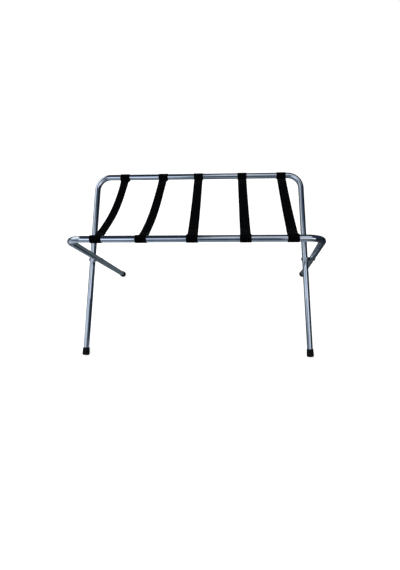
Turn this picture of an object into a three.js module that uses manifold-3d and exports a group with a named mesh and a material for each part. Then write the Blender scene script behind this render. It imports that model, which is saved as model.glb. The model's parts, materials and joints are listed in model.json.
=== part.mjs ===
// A folding luggage rack, drawn open. Two identical U-shaped steel tube frames cross in an X. They turn
// on two rivets at mid-leg and carry five webbing straps between their top bars, and the straps stop
// them from opening further.
// Millimetres, +Z up. The origin is on the floor midway between the four feet. +X runs along the top
// bars, and -Y is the front.

import * as THREE from "three";
import { mergeVertices } from "three/addons/utils/BufferGeometryUtils.js";
import Module from "manifold-3d";

const wasm = await Module();
wasm.setup();

// --- driving dimensions ---

const TUBE_RADIUS = 9.5;
const TUBE_WALL = 1.2;
const TUBE_SIDES = 24;
const BEND_RADIUS = 46; // of the tube's axis
const BEND_STEPS = 10;

const BAR_HALF = 350; // from the middle of a top bar to its leg's axis
const BAR_HEIGHT = 452;
const BAR_REACH = 198; // from the pivot axis to a top bar, along Y
const FOOT_REACH = 228; // from the pivot axis to where a leg's axis meets the floor, along Y
const FOOT_SPLAY = 27; // a leg stands this much further out at the floor than at the bar

const LEG_GAP = 3; // between the two tubes that pass each other
const TOUCH_GAP = 0.3; // left between pieces that touch

const CAP_RADIUS = 12; // at the floor end
const CAP_RIM_RADIUS = 11;
const CAP_EDGE = 5; // rounding of the floor end
const CAP_LENGTH = 26;
const CAP_FLOOR = 4.8; // rubber under the end of the tube
const CAP_FLAT = 0.8; // depth of the flat that the floor end stands on
const CAP_BEVEL = 1;
const CAP_SIDES = 28;

const RIVET_RADIUS = 3;
const RIVET_BORE_RADIUS = 3.35;
const RIVET_SIDES = 24;
const OUTER_HEAD = { radius: 5.5, height: 2.2 };
const INNER_HEAD = { radius: 4.6, height: 2.2 };
const WASHER = { radius: 6.2, thickness: 0.8, saddle: 1.3 };
const SPACER = { radius: 6.5, saddle: 1.8 };

const WEBBING_WIDTH = 31.5; // where it lies round a bar
const WEBBING_THICKNESS = 1.6;
const LAP_LENGTH = 38; // where a strap's end is sewn back onto itself
const STRAP_STEPS = 16;

// Each strap's place on the two bars, its width between them, where it draws in, how far its middle
// hangs below them, and how much that hollow leans towards the rear bar.
const STRAPS = [
  { rear: -266, front: -255, width: 26.5, sag: 27, lean: 0.12 },
  { rear: -132, front: -131, width: 27.5, sag: 21.5, lean: -0.28 },
  { rear: -10, front: 8, width: 29, sag: 10, lean: 0 },
  { rear: 140, front: 152, width: 29.5, sag: 10, lean: 0 },
  { rear: 273, front: 279, width: 30, sag: 8, lean: 0 },
];

// --- worked out from them ---

const X = new THREE.Vector3(1, 0, 0);
const Y = new THREE.Vector3(0, 1, 0);
const LEFT = -1;
const RIGHT = 1;

const FRAME_SHIFT = TUBE_RADIUS + LEG_GAP / 2; // each frame stands this far to one side of the middle
const SLEEVE_RADIUS = TUBE_RADIUS + TOUCH_GAP; // inside of whatever goes round a tube
const LOOP_RADIUS = SLEEVE_RADIUS + WEBBING_THICKNESS;
const SPAN_REACH = BAR_REACH - LOOP_RADIUS - TOUCH_GAP; // where a strap leaves its loops, along Y

const PIVOT_SHARE = FOOT_REACH / (FOOT_REACH + BAR_REACH); // of a leg, from the floor up
const PIVOT_HEIGHT = BAR_HEIGHT * PIVOT_SHARE;
const PIVOT_HALF = BAR_HALF + FOOT_SPLAY * (1 - PIVOT_SHARE); // to the middle between two passing legs

// The ends of a leg's axis in the rear frame, whose bar is at the back and whose feet are in front.
function legFoot(side) {
  return new THREE.Vector3(side * (BAR_HALF + FOOT_SPLAY) - FRAME_SHIFT, -FOOT_REACH, 0);
}

function legTop(side) {
  return new THREE.Vector3(side * BAR_HALF - FRAME_SHIFT, BAR_REACH, BAR_HEIGHT);
}

function legDirection(side) {
  return legTop(side).sub(legFoot(side)).normalize();
}

// How far along a leg's axis, from the floor, the foot cap begins and the tube ends.
const LEG_RISE = legDirection(LEFT).z;
const LEG_LEVEL = Math.sqrt(1 - LEG_RISE ** 2);
const CAP_EDGE_PLACE = ((CAP_RADIUS - CAP_EDGE) * LEG_LEVEL + CAP_EDGE - CAP_FLAT) / LEG_RISE;
const CAP_END_PLACE = CAP_EDGE_PLACE - CAP_EDGE;
const CAP_SEAT_PLACE = CAP_END_PLACE + CAP_FLOOR;
const TUBE_END_PLACE = CAP_SEAT_PLACE + TOUCH_GAP;

// --- solids ---

// A closed three.js geometry as a manifold-3d solid.
function solidOf(geometry) {
  const bare = geometry.index ? geometry.toNonIndexed() : geometry.clone();
  bare.deleteAttribute("normal");
  bare.deleteAttribute("uv");
  const merged = mergeVertices(bare, 1e-3);
  const vertProperties = new Float32Array(merged.attributes.position.array);
  const triVerts = new Uint32Array(merged.index.array);
  return new wasm.Manifold(new wasm.Mesh({ numProp: 3, vertProperties, triVerts }));
}

function geometryOf(solid) {
  const { vertProperties, triVerts } = solid.getMesh();
  const geometry = new THREE.BufferGeometry();
  geometry.setAttribute("position", new THREE.BufferAttribute(vertProperties, 3));
  geometry.setIndex(new THREE.BufferAttribute(triVerts, 1));
  geometry.computeVertexNormals();
  return geometry;
}

function cut(geometry, ...cutters) {
  const solid = cutters.reduce((rest, cutter) => rest.subtract(solidOf(cutter)), solidOf(geometry));
  return geometryOf(solid);
}

// A round bar along X at the pivot's height.
function pivotBar(radius, from, to) {
  return new THREE.CylinderGeometry(radius, radius, to - from, RIVET_SIDES)
    .rotateZ(-Math.PI / 2)
    .translate((from + to) / 2, 0, PIVOT_HEIGHT);
}

// A round bar along a leg of the rear frame, to cut what sits on the tube.
function legBar(side, radius) {
  const length = legTop(side).distanceTo(legFoot(side));
  return new THREE.CylinderGeometry(radius, radius, length, 2 * TUBE_SIDES)
    .translate(0, length / 2, 0)
    .applyQuaternion(new THREE.Quaternion().setFromUnitVectors(Y, legDirection(side)))
    .translate(...legFoot(side).toArray());
}

// --- tube frames ---

// A path whose sections stand exactly at the given stations, each a point and a tangent.
class StationPath extends THREE.Curve {
  constructor(stations) {
    super();
    this.stations = stations;
  }

  between(key, t, target) {
    const place = t * (this.stations.length - 1);
    const first = Math.min(Math.floor(place), this.stations.length - 2);
    return target.lerpVectors(this.stations[first][key], this.stations[first + 1][key], place - first);
  }

  getPoint(t, target = new THREE.Vector3()) {
    return this.between("point", t, target);
  }

  getTangent(t, target = new THREE.Vector3()) {
    return this.between("tangent", t, target).normalize();
  }

  getUtoTmapping(u) {
    return u;
  }
}

// Stations round a bend that turns from direction "along" to direction "away" at a corner.
function bendStations(corner, along, away) {
  const turn = along.angleTo(away);
  const start = corner.clone().addScaledVector(along, -BEND_RADIUS * Math.tan(turn / 2));
  const inward = away.clone().addScaledVector(along, -along.dot(away)).normalize();
  return Array.from({ length: BEND_STEPS + 1 }, (_, step) => {
    const angle = (turn * step) / BEND_STEPS;
    const point = start
      .clone()
      .addScaledVector(along, BEND_RADIUS * Math.sin(angle))
      .addScaledVector(inward, BEND_RADIUS * (1 - Math.cos(angle)));
    const tangent = along
      .clone()
      .multiplyScalar(Math.cos(angle))
      .addScaledVector(inward, Math.sin(angle));
    return { point, tangent };
  });
}

function framePath() {
  const up = legDirection(LEFT);
  const down = legDirection(RIGHT).negate();
  const start = legFoot(LEFT).addScaledVector(up, TUBE_END_PLACE);
  const end = legFoot(RIGHT).addScaledVector(down, -TUBE_END_PLACE);
  return new StationPath([
    { point: start, tangent: up },
    ...bendStations(legTop(LEFT), up, X),
    ...bendStations(legTop(RIGHT), X, down),
    { point: end, tangent: down },
  ]);
}

// A ring outline: a circle with a round hole in it.
function ringShape(radius, inside) {
  const shape = new THREE.Shape().absarc(0, 0, radius, 0, 2 * Math.PI);
  shape.holes.push(new THREE.Path().absarc(0, 0, inside, 0, 2 * Math.PI, true));
  return shape;
}

// One bent tube, open at both ends and drilled through both legs for the rivets.
function frameTube() {
  const path = framePath();
  const tube = new THREE.ExtrudeGeometry(ringShape(TUBE_RADIUS, TUBE_RADIUS - TUBE_WALL), {
    extrudePath: path,
    steps: path.stations.length - 1,
    curveSegments: TUBE_SIDES / 2,
    bevelEnabled: false,
  });
  const reach = PIVOT_HALF + FRAME_SHIFT + 2 * TUBE_RADIUS;
  return cut(tube, pivotBar(RIVET_BORE_RADIUS, -reach, reach));
}

// --- foot caps ---

// Half of the cap's section: radius, and place along the leg's axis.
function capProfile() {
  const edge = new THREE.Path().absarc(CAP_RADIUS - CAP_EDGE, CAP_EDGE_PLACE, CAP_EDGE, -Math.PI / 2, 0);
  const top = CAP_END_PLACE + CAP_LENGTH;
  return [
    new THREE.Vector2(0, CAP_END_PLACE),
    ...edge.getPoints(5),
    new THREE.Vector2(CAP_RIM_RADIUS, top - CAP_BEVEL),
    new THREE.Vector2(CAP_RIM_RADIUS - CAP_BEVEL / 2, top),
    new THREE.Vector2(SLEEVE_RADIUS, top),
    new THREE.Vector2(SLEEVE_RADIUS, CAP_SEAT_PLACE),
    new THREE.Vector2(0, CAP_SEAT_PLACE),
  ];
}

// A cap on the end of a leg, cut flat where it stands on the floor.
function footCap(side) {
  const foot = legFoot(side);
  const cap = new THREE.LatheGeometry(capProfile(), CAP_SIDES)
    .applyQuaternion(new THREE.Quaternion().setFromUnitVectors(Y, legDirection(side)))
    .translate(...foot.toArray());
  const depth = CAP_LENGTH;
  const floor = new THREE.BoxGeometry(4 * CAP_RADIUS, 4 * CAP_RADIUS, depth);
  return cut(cap, floor.translate(foot.x, foot.y, -depth / 2));
}

// --- pivots ---

// The left pivot, where the rear frame's leg is the outer one. Places are along X, measured from the
// middle between the two legs, positive outwards.
const PIVOT_X = -PIVOT_HALF;
const SEAT_PLACE = FRAME_SHIFT + SLEEVE_RADIUS; // where a washer rests on its tube
const HEAD_PLACE = SEAT_PLACE + WASHER.thickness + TOUCH_GAP;

// A rounded rivet head's outline from its rim to the axis, above height "base".
function headProfile({ radius, height }, base) {
  const steps = 5;
  return Array.from({ length: steps + 1 }, (_, step) => {
    const angle = (Math.PI / 2) * (step / steps);
    return new THREE.Vector2(radius * Math.cos(angle), base + height * Math.sin(angle));
  });
}

// The rivet runs through both legs and has a head at each end.
function pivotRivet() {
  const mirrored = headProfile(INNER_HEAD, HEAD_PLACE).map(({ x, y }) => new THREE.Vector2(x, -y));
  const profile = [
    ...mirrored.reverse(),
    new THREE.Vector2(RIVET_RADIUS, -HEAD_PLACE),
    new THREE.Vector2(RIVET_RADIUS, HEAD_PLACE),
    ...headProfile(OUTER_HEAD, HEAD_PLACE),
  ];
  profile[0].x = 0;
  profile.at(-1).x = 0;
  return new THREE.LatheGeometry(profile, RIVET_SIDES)
    .rotateZ(Math.PI / 2)
    .translate(PIVOT_X, 0, PIVOT_HEIGHT);
}

// A disc on the rivet, hollowed underneath to sit on a tube.
function saddleDisc(radius, from, to, tube) {
  const disc = pivotBar(radius, PIVOT_X - to, PIVOT_X - from);
  const bore = pivotBar(RIVET_BORE_RADIUS, PIVOT_X - 2 * HEAD_PLACE, PIVOT_X + 2 * HEAD_PLACE);
  return cut(disc, tube, bore);
}

function outerWasher() {
  const face = SEAT_PLACE + WASHER.thickness;
  const inside = face - WASHER.thickness - WASHER.saddle;
  return saddleDisc(WASHER.radius, inside, face, legBar(LEFT, SLEEVE_RADIUS));
}

// The inner washer sits on the front frame's leg, so its saddle follows that leg.
function innerWasher() {
  const face = -(SEAT_PLACE + WASHER.thickness);
  const inside = face + WASHER.thickness + WASHER.saddle;
  return saddleDisc(WASHER.radius, face, inside, legBar(RIGHT, SLEEVE_RADIUS).rotateZ(Math.PI));
}

// The spacer keeps the tubes apart: hollowed towards the rear frame's leg, flat towards the other one.
function pivotSpacer() {
  const flat = -(LEG_GAP / 2) + TOUCH_GAP;
  const skirt = LEG_GAP / 2 + SPACER.saddle;
  return saddleDisc(SPACER.radius, flat, skirt, legBar(LEFT, SLEEVE_RADIUS));
}

// --- straps ---

// Lays a shape drawn in (Y, Z) across a width of webbing whose middle is at "x".
function acrossWidth(shape, x, width, curveSegments) {
  const toYZ = new THREE.Matrix4().makeBasis(Y, new THREE.Vector3(0, 0, 1), X);
  return new THREE.ExtrudeGeometry(shape, { depth: width, bevelEnabled: false, curveSegments })
    .translate(0, 0, -width / 2)
    .applyMatrix4(toYZ)
    .translate(x, 0, 0);
}

// The webbing wrapped round a bar. y is the bar's place.
function strapLoop(x, y) {
  const loop = acrossWidth(ringShape(LOOP_RADIUS, SLEEVE_RADIUS), x, WEBBING_WIDTH, TUBE_SIDES / 2);
  return loop.translate(0, y, BAR_HEIGHT);
}

// The height of a strap's middle layer at a place y.
function strapHeight({ sag, lean }, y) {
  const share = y / BAR_REACH;
  return BAR_HEIGHT - sag * (1 - share ** 2) * (1 + lean * share);
}

// The side view of a strap between its loops: one layer in the middle, two where it is sewn.
function spanShape(strap) {
  const rise = WEBBING_THICKNESS / 2;
  const lapEnd = SPAN_REACH - LAP_LENGTH;
  const at = (y, offset) => new THREE.Vector2(y, strapHeight(strap, y) + offset);
  const row = (from, to, steps, offset) =>
    Array.from({ length: steps + 1 }, (_, step) => at(from + ((to - from) * step) / steps, offset));
  return new THREE.Shape([
    ...row(SPAN_REACH, -SPAN_REACH, STRAP_STEPS, rise),
    ...row(-SPAN_REACH, -lapEnd, 2, -rise - WEBBING_THICKNESS),
    ...row(-lapEnd, lapEnd, STRAP_STEPS - 4, -rise),
    ...row(lapEnd, SPAN_REACH, 2, -rise - WEBBING_THICKNESS),
  ]);
}

// A strap runs slightly askew from its place on the front bar to its place on the rear one.
function strapSpan(strap) {
  const skew = (strap.rear - strap.front) / (2 * BAR_REACH);
  const middle = (strap.rear + strap.front) / 2;
  return acrossWidth(spanShape(strap), 0, strap.width)
    .applyMatrix4(new THREE.Matrix4().makeShear(0, 0, skew, 0, 0, 0))
    .translate(middle, 0, 0);
}

// --- materials ---

function chrome() {
  return new THREE.MeshStandardMaterial({ color: 0xc6ccd6, roughness: 0.14, metalness: 1 });
}

function darkSteel() {
  return new THREE.MeshStandardMaterial({ color: 0x4b4f56, roughness: 0.35, metalness: 1 });
}

function rubber() {
  return new THREE.MeshStandardMaterial({ color: 0x121214, roughness: 0.8, metalness: 0 });
}

function nylon() {
  return new THREE.MeshStandardMaterial({ color: 0x0f1012, roughness: 0.6, metalness: 0 });
}

function webbing() {
  return new THREE.MeshStandardMaterial({ color: 0x14151a, roughness: 0.9, metalness: 0 });
}

// --- assembly ---

function piece(name, geometry, material) {
  const mesh = new THREE.Mesh(geometry, material);
  mesh.name = name;
  return mesh;
}

// A frame with its two foot caps. "ends" says where its bar and its feet are.
function frame(ends, tube) {
  const group = new THREE.Group();
  group.add(piece(`${ends.bar}_bar_frame_tube`, tube, chrome()));
  group.add(piece(`${ends.feet}_${ends.left}_foot_cap`, footCap(LEFT), rubber()));
  group.add(piece(`${ends.feet}_${ends.right}_foot_cap`, footCap(RIGHT), rubber()));
  return group;
}

function pivot(side) {
  const group = new THREE.Group();
  group.add(piece(`${side}_pivot_rivet`, pivotRivet(), darkSteel()));
  group.add(piece(`${side}_pivot_spacer`, pivotSpacer(), nylon()));
  group.add(piece(`${side}_outer_saddle_washer`, outerWasher(), darkSteel()));
  group.add(piece(`${side}_inner_saddle_washer`, innerWasher(), darkSteel()));
  return group;
}

function strapPieces(strap, index) {
  const name = `strap_${index + 1}`;
  const group = new THREE.Group();
  group.add(piece(`${name}_span`, strapSpan(strap), webbing()));
  group.add(piece(`${name}_rear_loop`, strapLoop(strap.rear, BAR_REACH), webbing()));
  group.add(piece(`${name}_front_loop`, strapLoop(strap.front, -BAR_REACH), webbing()));
  return group;
}

// The front frame and the right pivot are the rear frame and the left pivot turned half round.
const rack = new THREE.Group();
const tube = frameTube();
const rearFrame = frame({ bar: "rear", feet: "front", left: "left", right: "right" }, tube);
const frontFrame = frame({ bar: "front", feet: "rear", left: "right", right: "left" }, tube);
const leftPivot = pivot("left");
const rightPivot = pivot("right");
frontFrame.rotation.z = Math.PI;
rightPivot.rotation.z = Math.PI;
rack.add(rearFrame, frontFrame, leftPivot, rightPivot, ...STRAPS.map(strapPieces));

export default rack;
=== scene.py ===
"""A folding luggage rack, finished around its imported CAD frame: two chromed U tubes that cross on riveted
pivots, rubber foot caps, and five sewn webbing straps. Metres, +Z up, -Y is the front."""

import json
import math

import bmesh
import bpy
import numpy as np
from mathutils import Matrix, Vector


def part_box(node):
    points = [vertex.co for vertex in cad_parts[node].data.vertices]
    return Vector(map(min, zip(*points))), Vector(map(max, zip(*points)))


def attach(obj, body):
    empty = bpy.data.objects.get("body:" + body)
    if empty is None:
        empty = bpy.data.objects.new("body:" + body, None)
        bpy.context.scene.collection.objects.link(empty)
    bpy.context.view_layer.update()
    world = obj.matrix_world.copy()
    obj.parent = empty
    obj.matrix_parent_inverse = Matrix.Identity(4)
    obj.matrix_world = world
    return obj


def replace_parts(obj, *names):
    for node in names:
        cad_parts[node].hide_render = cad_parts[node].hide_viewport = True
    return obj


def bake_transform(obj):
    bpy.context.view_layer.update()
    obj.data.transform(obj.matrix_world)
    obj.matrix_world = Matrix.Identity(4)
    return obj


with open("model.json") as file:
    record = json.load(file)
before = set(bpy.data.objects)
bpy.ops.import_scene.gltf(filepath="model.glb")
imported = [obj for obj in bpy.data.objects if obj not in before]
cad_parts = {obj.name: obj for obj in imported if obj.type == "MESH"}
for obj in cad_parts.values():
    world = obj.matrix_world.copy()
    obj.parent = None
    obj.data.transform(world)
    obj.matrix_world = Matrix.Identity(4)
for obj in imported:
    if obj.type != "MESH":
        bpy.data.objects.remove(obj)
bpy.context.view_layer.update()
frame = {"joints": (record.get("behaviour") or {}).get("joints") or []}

REAR, FRONT = "rear_bar_frame", "front_bar_frame"
MM = 0.001

# --- sizes that the frame doesn't hold ---

TUBE_RADIUS = 9.5 * MM
TUBE_WALL = 1.2 * MM
TUBE_END_ROUNDING = 0.3 * MM
TUBE_SIDES = 64
BEND_RADIUS = 46 * MM
BEND_STEPS = 32
STRAIGHT_STEP = 12 * MM  # between the tube's rings on its straight runs
BAR_HALF = 350 * MM  # from the middle of a top bar to its leg's axis
FOOT_SPLAY = 27 * MM  # how much further out a leg stands on the floor than at its bar
FIT_GAP = 0.3 * MM  # between pieces that touch

RIVET_RADIUS, BORE_RADIUS = 3 * MM, 3.35 * MM
ROUND_SIDES = 48  # round the rivets and their bores
SMOOTH_SIDES = 64  # round the caps, washers and spacers

WEBBING_THICKNESS = 1.5 * MM
LOOP_WIDTH = 31.5 * MM
LOOP_GAP = 0.25 * MM  # between the webbing and the bar
LAYER_GAP = 0.12 * MM  # between the two sewn layers
# Distances from a bar's axis: where the two layers of a loop meet, where the webbing's cut end is, and
# where the webbing starts to widen towards the bar and is full.
MERGE, LAP_END = 26 * MM, 50 * MM
WIDEN_START, WIDEN_END = 24 * MM, 9 * MM

# Each strap's width between its loops, how far its middle hangs below the bars, how much that hollow
# leans towards the rear bar (as a share), how much its edges curl upwards, and how it hangs.
STRAPS = [
    {"width": 26.5 * MM, "sag": 27 * MM, "lean": 0.12, "curl": 1.6 * MM, "held": "hung"},
    {"width": 27.5 * MM, "sag": 21.5 * MM, "lean": -0.28, "curl": 1.3 * MM, "held": "hung"},
    {"width": 29 * MM, "sag": 10 * MM, "lean": 0.0, "curl": 0.6 * MM, "held": "stretched"},
    {"width": 29.5 * MM, "sag": 10 * MM, "lean": 0.0, "curl": 0.5 * MM, "held": "stretched"},
    {"width": 30 * MM, "sag": 8 * MM, "lean": 0.0, "curl": 0.5 * MM, "held": "stretched"},
]

# --- places worked out from the frame ---

tube_low, tube_high = (Vector(corner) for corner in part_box("rear_bar_frame_tube"))
PIVOT = Vector(frame["joints"][0]["pos_m"])
BAR_REACH = tube_high.y - TUBE_RADIUS
BAR_HEIGHT = tube_high.z - TUBE_RADIUS
FOOT_REACH = BAR_REACH * PIVOT.z / (BAR_HEIGHT - PIVOT.z)
FRAME_SHIFT = -(tube_low.x + tube_high.x) / 2
PIVOT_SHARE = FOOT_REACH / (FOOT_REACH + BAR_REACH)
PIVOT_HALF = BAR_HALF + FOOT_SPLAY * (1 - PIVOT_SHARE)
X_AXIS = Vector((1, 0, 0))
UNTURNED = Matrix.Identity(4)
HALF_TURN = Matrix.Rotation(math.pi, 4, "Z")  # takes the rear frame to the front frame


def leg_foot(side):
    """Where a leg's axis meets the floor, in the rear frame. side is -1 on the left and 1 on the right."""
    return Vector((side * (BAR_HALF + FOOT_SPLAY) - FRAME_SHIFT, -FOOT_REACH, 0))


def leg_top(side):
    return Vector((side * BAR_HALF - FRAME_SHIFT, BAR_REACH, BAR_HEIGHT))


def leg_direction(side):
    return (leg_top(side) - leg_foot(side)).normalized()


# --- materials ---

CAP_DUST_HEIGHT = 25 * MM


def new_material(name):
    material = bpy.data.materials.new(name)
    material.use_nodes = True
    nodes = material.node_tree.nodes
    return material, nodes["Principled BSDF"], nodes, material.node_tree.links


def node(nodes, kind, **settings):
    """A shader node with its properties and, by input name, its values set."""
    made = nodes.new("ShaderNode" + kind)
    for key, value in settings.items():
        if hasattr(made, key):
            setattr(made, key, value)
        else:
            made.inputs[key.replace("_", " ")].default_value = value
    return made


def ramp(nodes, links, source, stops):
    """A colour ramp fed by a socket. Each stop is (place, grey or colour)."""
    made = nodes.new("ShaderNodeValToRGB")
    elements = made.color_ramp.elements
    while len(elements) < len(stops):
        elements.new(0.5)
    for element, (place, colour) in zip(elements, stops, strict=True):
        element.position = place
        element.color = (*colour, 1) if isinstance(colour, tuple) else (colour, colour, colour, 1)
    links.new(source, made.inputs["Fac"])
    return made.outputs["Color"]


def noise(nodes, links, vector, scale, detail=4.0, roughness=0.55):
    made = node(nodes, "TexNoise", Scale=scale, Detail=detail, Roughness=roughness)
    links.new(vector, made.inputs["Vector"])
    return made.outputs["Fac"]


def stretched(nodes, links, vector, scale):
    made = node(nodes, "Mapping", Scale=scale)
    links.new(vector, made.inputs["Vector"])
    return made.outputs["Vector"]


def bump(nodes, links, height, strength, distance, below=None):
    made = node(nodes, "Bump", Strength=strength, Distance=distance)
    links.new(height, made.inputs["Height"])
    if below is not None:
        links.new(below, made.inputs["Normal"])
    return made.outputs["Normal"]


def arithmetic(nodes, links, operation, a, b=None):
    made = node(nodes, "Math", operation=operation)
    for socket, value in zip(made.inputs, (a, b), strict=False):
        if value is None:
            continue
        if isinstance(value, (int, float)):
            socket.default_value = value
        else:
            links.new(value, socket)
    return made.outputs[0]


def multiply_colours(nodes, links, a, b):
    made = node(nodes, "Mix", data_type="RGBA", blend_type="MULTIPLY")
    made.inputs[0].default_value = 1.0
    links.new(a, made.inputs[6])
    links.new(b, made.inputs[7])
    return made.outputs[2]


def mix_colour(nodes, links, factor, a, b):
    """Colour a where the factor is 0, and b where it is 1. Each may be a socket or a constant."""
    made = node(nodes, "Mix", data_type="RGBA")
    for socket, value in ((made.inputs[0], factor), (made.inputs[6], a), (made.inputs[7], b)):
        if isinstance(value, bpy.types.NodeSocket):
            links.new(value, socket)
        else:
            socket.default_value = value if isinstance(value, (int, float)) else (*value, 1)
    return made.outputs[2]


def object_place(nodes):
    return node(nodes, "TexCoord").outputs["Object"]


def along_cloth_or_tube(nodes):
    """The "along" map: metres along a strap or tube, and metres across or round it."""
    return node(nodes, "UVMap", uv_map="along").outputs["UV"]


def split(nodes, links, vector):
    """The X, Y and Z of a vector."""
    made = node(nodes, "SeparateXYZ")
    links.new(vector, made.inputs[0])
    return made.outputs["X"], made.outputs["Y"], made.outputs["Z"]


def chrome():
    """Bright plated tube: polishing lines along it, a slight ripple, and a few dull specks."""
    material, shader, nodes, links = new_material("chromed_tube")
    shader.inputs["Metallic"].default_value = 1.0
    place = object_place(nodes)
    haze = noise(nodes, links, place, 14)
    along = stretched(nodes, links, along_cloth_or_tube(nodes), (6, 700, 1))
    lines = noise(nodes, links, along, 1.0, 6)
    specks = ramp(nodes, links, noise(nodes, links, place, 420, 2), [(0.69, 0.0), (0.76, 1.0)])
    cloudy_lines = arithmetic(nodes, links, "MULTIPLY", haze, lines)
    polish = ramp(nodes, links, cloudy_lines, [(0.12, 0.035), (0.42, 0.10)])
    dull = mix_colour(nodes, links, specks, polish, (0.42, 0.42, 0.42))
    links.new(dull, shader.inputs["Roughness"])
    tint = ramp(nodes, links, haze, [(0.3, (0.60, 0.64, 0.71)), (0.7, (0.73, 0.76, 0.81))])
    links.new(mix_colour(nodes, links, specks, tint, (0.33, 0.33, 0.34)), shader.inputs["Base Color"])
    ripple = bump(nodes, links, noise(nodes, links, place, 30, 1), 0.10, 1.2 * MM)
    links.new(bump(nodes, links, lines, 0.05, 0.05 * MM, ripple), shader.inputs["Normal"])
    return material


def pivot_steel():
    """Satin rivet steel, brighter and smoother where it has rubbed."""
    material, shader, nodes, links = new_material("rivet_steel")
    shader.inputs["Metallic"].default_value = 1.0
    wear = noise(nodes, links, object_place(nodes), 600, 5)
    tint = ramp(nodes, links, wear, [(0.3, (0.24, 0.25, 0.27)), (0.62, (0.55, 0.57, 0.60))])
    links.new(tint, shader.inputs["Base Color"])
    links.new(ramp(nodes, links, wear, [(0.3, 0.36), (0.7, 0.2)]), shader.inputs["Roughness"])
    links.new(bump(nodes, links, wear, 0.15, 0.05 * MM), shader.inputs["Normal"])
    return material


def nylon():
    """Moulded black nylon with a fine spark-eroded grain."""
    material, shader, nodes, links = new_material("black_nylon")
    place = object_place(nodes)
    grain = noise(nodes, links, place, 2600, 3)
    cloud = noise(nodes, links, place, 120, 3)
    links.new(ramp(nodes, links, cloud, [(0.3, 0.009), (0.7, 0.02)]), shader.inputs["Base Color"])
    links.new(ramp(nodes, links, cloud, [(0.3, 0.42), (0.7, 0.58)]), shader.inputs["Roughness"])
    links.new(bump(nodes, links, grain, 0.3, 0.05 * MM), shader.inputs["Normal"])
    return material


def rubber():
    """Black rubber, a little greyer with dust and scuffs towards the floor."""
    material, shader, nodes, links = new_material("foot_rubber")
    shader.inputs["Specular IOR Level"].default_value = 0.16
    place = object_place(nodes)
    scuff = noise(nodes, links, place, 260, 6, 0.65)
    height = arithmetic(nodes, links, "MULTIPLY", split(nodes, links, place)[2], 1 / CAP_DUST_HEIGHT)
    low = ramp(nodes, links, height, [(0.0, 1.0), (0.55, 0.0)])
    dust = arithmetic(nodes, links, "MULTIPLY", low, ramp(nodes, links, scuff, [(0.42, 0.0), (0.72, 0.8)]))
    clean, dusty = (0.0028, 0.0032, 0.0042), (0.015, 0.0145, 0.014)
    links.new(mix_colour(nodes, links, dust, clean, dusty), shader.inputs["Base Color"])
    links.new(ramp(nodes, links, scuff, [(0.3, 0.5), (0.7, 0.78)]), shader.inputs["Roughness"])
    grain = bump(nodes, links, noise(nodes, links, place, 1500, 3), 0.3, 0.06 * MM)
    links.new(bump(nodes, links, scuff, 0.15, 0.2 * MM, grain), shader.inputs["Normal"])
    return material


def webbing():
    """Black woven webbing: a herringbone rib pattern, crossed by the warp threads, slightly worn and fuzzy.
    The base colour is darkened in the weave's hollows: painted shade.
    """
    material, shader, nodes, links = new_material("black_webbing")
    shader.inputs["Sheen Weight"].default_value = 0.005
    shader.inputs["Sheen Roughness"].default_value = 0.5
    shader.inputs["Specular IOR Level"].default_value = 0.03
    along, across, _ = split(nodes, links, along_cloth_or_tube(nodes))
    rib_pitch, warp_pitch, chevron = 1.1 * MM, 0.7 * MM, 5.5 * MM

    def wave(distance, pitch):
        turns = arithmetic(nodes, links, "MULTIPLY", distance, 2 * math.pi / pitch)
        return arithmetic(nodes, links, "SINE", turns)

    slant = arithmetic(nodes, links, "PINGPONG", across, chevron)
    rib = wave(arithmetic(nodes, links, "ADD", along, slant), rib_pitch)
    warp = arithmetic(nodes, links, "MULTIPLY", wave(across, warp_pitch), 0.45)
    weave = arithmetic(nodes, links, "ADD", rib, warp)
    place = object_place(nodes)
    wear = noise(nodes, links, place, 60, 5, 0.6)
    fuzz = noise(nodes, links, place, 3000, 2)
    relief = arithmetic(nodes, links, "MULTIPLY_ADD", weave, 0.3)  # plus the node's own 0.5
    # Painted shade: the base colour is darker in the weave's hollows and full on its ridges.
    rib_hollow_shade = ramp(nodes, links, relief, [(0.2, 0.35), (0.8, 1.0)])
    shade = ramp(nodes, links, wear, [(0.3, (0.001, 0.0011, 0.0013)), (0.75, (0.0028, 0.003, 0.0035))])
    links.new(multiply_colours(nodes, links, shade, rib_hollow_shade), shader.inputs["Base Color"])
    links.new(ramp(nodes, links, wear, [(0.3, 0.82), (0.7, 0.95)]), shader.inputs["Roughness"])
    woven = bump(nodes, links, weave, 0.55, 0.16 * MM)
    links.new(bump(nodes, links, fuzz, 0.2, 0.08 * MM, woven), shader.inputs["Normal"])
    return material


def thread():
    """Twisted black sewing thread."""
    material, shader, nodes, links = new_material("black_thread")
    shader.inputs["Sheen Weight"].default_value = 0.1
    twist = noise(nodes, links, object_place(nodes), 4000, 2)
    links.new(ramp(nodes, links, twist, [(0.3, 0.006), (0.7, 0.018)]), shader.inputs["Base Color"])
    links.new(ramp(nodes, links, twist, [(0.3, 0.5), (0.7, 0.7)]), shader.inputs["Roughness"])
    links.new(bump(nodes, links, twist, 0.4, 0.05 * MM), shader.inputs["Normal"])
    return material


CHROME, STEEL, NYLON = chrome(), pivot_steel(), nylon()
RUBBER, WEBBING, THREAD = rubber(), webbing(), thread()

# --- mesh helpers ---


def put(name, data):
    """A new object in the scene."""
    made = bpy.data.objects.new(name, data)
    bpy.context.collection.objects.link(made)
    return made


def mesh_piece(name, points, faces, material, slot, corner_uvs=None):
    """A smooth-shaded mesh piece. corner_uvs gives one (along, across) for each face corner, in metres."""
    mesh = bpy.data.meshes.new(name)
    mesh.from_pydata([tuple(p) for p in points], [], faces)
    if corner_uvs is not None:
        layer = mesh.uv_layers.new(name="along")
        layer.data.foreach_set("uv", np.asarray(corner_uvs, float).ravel())
    mesh.polygons.foreach_set("use_smooth", [True] * len(mesh.polygons))
    mesh.materials.append(material)
    return put(name, mesh)


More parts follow.
